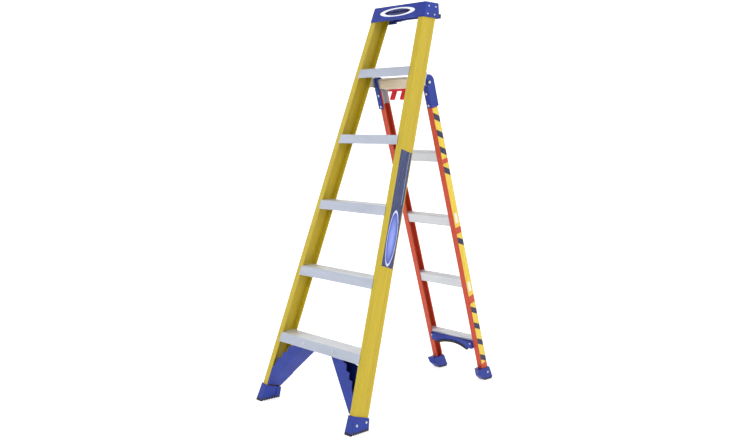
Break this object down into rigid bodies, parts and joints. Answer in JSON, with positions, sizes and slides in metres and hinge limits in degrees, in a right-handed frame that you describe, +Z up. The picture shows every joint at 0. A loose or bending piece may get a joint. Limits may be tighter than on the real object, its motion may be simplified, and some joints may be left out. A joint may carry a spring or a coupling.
{
  "type": "step ladder",
  "caption": "Fibreglass step ladder whose rear section of rungs folds flat or swings up over the back, with rubber-faced rests for leaning on a wall.",
  "frame": {"origin": "on the ground at the centre of the ladder's footprint box", "axes": "+X across the ladder, to the right of someone facing the treads; +Y from the treads towards the rear section; +Z up"},
  "size_m": [0.6274, 1.057, 1.735],
  "materials": {
    "yellow_fibreglass": "pultruded glass fibre channel, satin, fine lengthwise strands",
    "orange_fibreglass": "pultruded glass fibre channel, satin",
    "aluminium": "mill finish extrusion with fine grooves",
    "rivet_aluminium": "bright rivet heads",
    "zinc_steel": "zinc plated steel",
    "blue_plastic": "moulded blue plastic, fine texture",
    "red_plastic": "moulded red plastic",
    "black_rubber": "moulded black rubber",
    "badge": "blank oval label, white rim round a dark blue field"
  },
  "bodies": {
    "front_section": {"front_rail_right": "yellow_fibreglass", "front_rail_left": "yellow_fibreglass", "tread_1": "aluminium", "tread_2": "aluminium", "tread_3": "aluminium", "tread_4": "aluminium", "tread_5": "aluminium", "tread_rivets": "rivet_aluminium", "top_cap": "blue_plastic", "cap_rivets": "rivet_aluminium", "cap_badge": "badge", "cap_wall_pad": "black_rubber", "knee_brace_right": "blue_plastic", "knee_brace_left": "blue_plastic", "knee_brace_rivets": "rivet_aluminium", "front_foot_right": "blue_plastic", "front_foot_left": "blue_plastic", "front_foot_pad_right": "black_rubber", "front_foot_pad_left": "black_rubber", "front_foot_rivets": "rivet_aluminium", "hinge_ear_right": "zinc_steel", "hinge_ear_left": "zinc_steel", "hinge_ear_rivets": "rivet_aluminium"},
    "rear_section": {"rear_rail_right": "orange_fibreglass", "rear_rail_left": "orange_fibreglass", "rung_1": "aluminium", "rung_2": "aluminium", "rung_3": "aluminium", "rung_4": "aluminium", "rung_rivets": "rivet_aluminium", "top_cross_bar": "aluminium", "hinge_bracket_right": "blue_plastic", "hinge_bracket_left": "blue_plastic", "hinge_bracket_rivets": "rivet_aluminium", "rail_liner_right": "aluminium", "rail_liner_left": "aluminium", "swing_pin_right": "zinc_steel", "swing_pin_left": "zinc_steel", "swing_washers": "zinc_steel", "wall_rest": "blue_plastic", "wall_rest_grip": "black_rubber", "wall_rest_rivets": "rivet_aluminium", "rear_foot_right": "blue_plastic", "rear_foot_left": "blue_plastic", "rear_foot_pad_right": "black_rubber", "rear_foot_pad_left": "black_rubber", "rear_foot_rivets": "rivet_aluminium", "latch_lug_right": "aluminium", "latch_lug_left": "aluminium", "latch_pin": "zinc_steel", "latch_springs": "zinc_steel", "latch_lug_screws": "rivet_aluminium"},
    "latch": {"latch": "red_plastic"}
  },
  "joints": [
    {"name": "rear_section_swing", "type": "hinge", "parent": "front_section", "child": "rear_section", "pos_m": [0, 0.03804, 1.395], "axis": [1, 0, 0], "range_deg": [-34.5, 139]},
    {"name": "latch_pull", "type": "hinge", "parent": "rear_section", "child": "latch", "pos_m": [0, 0.05795, 1.36881], "axis": [1, 0, 0], "range_deg": [0, 20], "stiffness_Nm_per_rad": 0.4, "springref_deg": -11.46}
  ]
}
